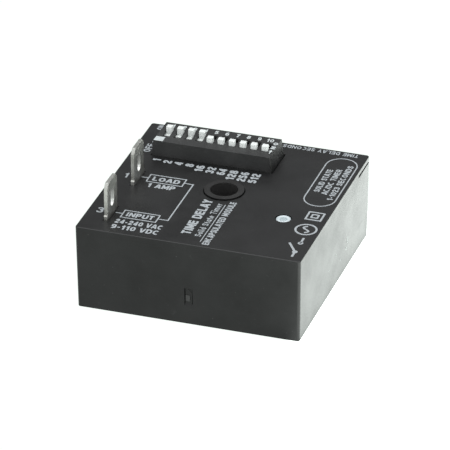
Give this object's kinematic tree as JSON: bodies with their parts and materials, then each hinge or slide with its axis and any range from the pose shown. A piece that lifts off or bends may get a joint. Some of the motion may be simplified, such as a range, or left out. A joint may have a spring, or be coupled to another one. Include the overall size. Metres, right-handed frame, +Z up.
{
  "type": "solid state relay",
  "caption": "Square potted solid-state delay relay with a screw hole, two blade terminals, an indicator lamp and a binary slide switch.",
  "frame": {"origin": "middle of the bottom face, which lies in the plane z = 0", "axes": "+X to the right along the front face, +Y away from the front towards the edge with the slide switch, +Z up through the screw hole and along the blade terminals"},
  "size_m": [0.0508, 0.0508, 0.0281],
  "materials": {
    "case_plastic": "black satin moulding",
    "potting_resin": "dull black resin",
    "board_laminate": "green board laminate",
    "tinned_metal": "tin-plated, dull",
    "contact_metal": "thin plated strip",
    "switch_plastic": "black satin moulding",
    "slider_plastic": "white moulding",
    "lens_plastic": "milky clear resin",
    "package_plastic": "black package",
    "capacitor_sleeve": "dark blue sleeve",
    "film_plastic": "red moulded box",
    "ceramic": "tan coating"
  },
  "bodies": {
    "housing": {"housing_shell": "case_plastic", "top_cover": "case_plastic", "potting_block": "potting_resin", "circuit_board": "board_laminate", "terminal_blade_1": "tinned_metal", "terminal_blade_3": "tinned_metal", "lamp_lead_anode": "tinned_metal", "lamp_lead_cathode": "tinned_metal", "indicator_lamp": "lens_plastic", "switch_case": "switch_plastic", "switch_base": "switch_plastic", "supply_capacitor": "capacitor_sleeve", "counter_chip": "package_plastic", "bridge_rectifier": "package_plastic", "thyristor": "package_plastic", "gate_transistor": "package_plastic", "timing_capacitor": "film_plastic", "surge_varistor": "film_plastic", "dropping_resistor": "ceramic", "timing_resistor": "ceramic", "gate_resistor": "ceramic", "lamp_resistor": "ceramic", "zener_diode": "ceramic", "snubber_resistor": "ceramic", "noise_capacitor": "ceramic", "sprung_contact_01": "contact_metal", "fixed_contact_01": "contact_metal", "sprung_contact_02": "contact_metal", "fixed_contact_02": "contact_metal", "sprung_contact_03": "contact_metal", "fixed_contact_03": "contact_metal", "sprung_contact_04": "contact_metal", "fixed_contact_04": "contact_metal", "sprung_contact_05": "contact_metal", "fixed_contact_05": "contact_metal", "sprung_contact_06": "contact_metal", "fixed_contact_06": "contact_metal", "sprung_contact_07": "contact_metal", "fixed_contact_07": "contact_metal", "sprung_contact_08": "contact_metal", "fixed_contact_08": "contact_metal", "sprung_contact_09": "contact_metal", "fixed_contact_09": "contact_metal", "sprung_contact_10": "contact_metal", "fixed_contact_10": "contact_metal"},
    "slider_01": {"slider_01": "slider_plastic"},
    "slider_02": {"slider_02": "slider_plastic"},
    "slider_03": {"slider_03": "slider_plastic"},
    "slider_04": {"slider_04": "slider_plastic"},
    "slider_05": {"slider_05": "slider_plastic"},
    "slider_06": {"slider_06": "slider_plastic"},
    "slider_07": {"slider_07": "slider_plastic"},
    "slider_08": {"slider_08": "slider_plastic"},
    "slider_09": {"slider_09": "slider_plastic"},
    "slider_10": {"slider_10": "slider_plastic"}
  },
  "joints": [
    {"name": "slider_01_slide", "type": "slide", "parent": "housing", "child": "slider_01", "axis": [0, 1, 0], "range_m": [-0.00225, 0]},
    {"name": "slider_02_slide", "type": "slide", "parent": "housing", "child": "slider_02", "axis": [0, 1, 0], "range_m": [-0.00225, 0]},
    {"name": "slider_03_slide", "type": "slide", "parent": "housing", "child": "slider_03", "axis": [0, 1, 0], "range_m": [-0.00225, 0]},
    {"name": "slider_04_slide", "type": "slide", "parent": "housing", "child": "slider_04", "axis": [0, 1, 0], "range_m": [-0.00225, 0]},
    {"name": "slider_05_slide", "type": "slide", "parent": "housing", "child": "slider_05", "axis": [0, 1, 0], "range_m": [0, 0.00225]},
    {"name": "slider_06_slide", "type": "slide", "parent": "housing", "child": "slider_06", "axis": [0, 1, 0], "range_m": [0, 0.00225]},
    {"name": "slider_07_slide", "type": "slide", "parent": "housing", "child": "slider_07", "axis": [0, 1, 0], "range_m": [0, 0.00225]},
    {"name": "slider_08_slide", "type": "slide", "parent": "housing", "child": "slider_08", "axis": [0, 1, 0], "range_m": [0, 0.00225]},
    {"name": "slider_09_slide", "type": "slide", "parent": "housing", "child": "slider_09", "axis": [0, 1, 0], "range_m": [0, 0.00225]},
    {"name": "slider_10_slide", "type": "slide", "parent": "housing", "child": "slider_10", "axis": [0, 1, 0], "range_m": [0, 0.00225]}
  ]
}
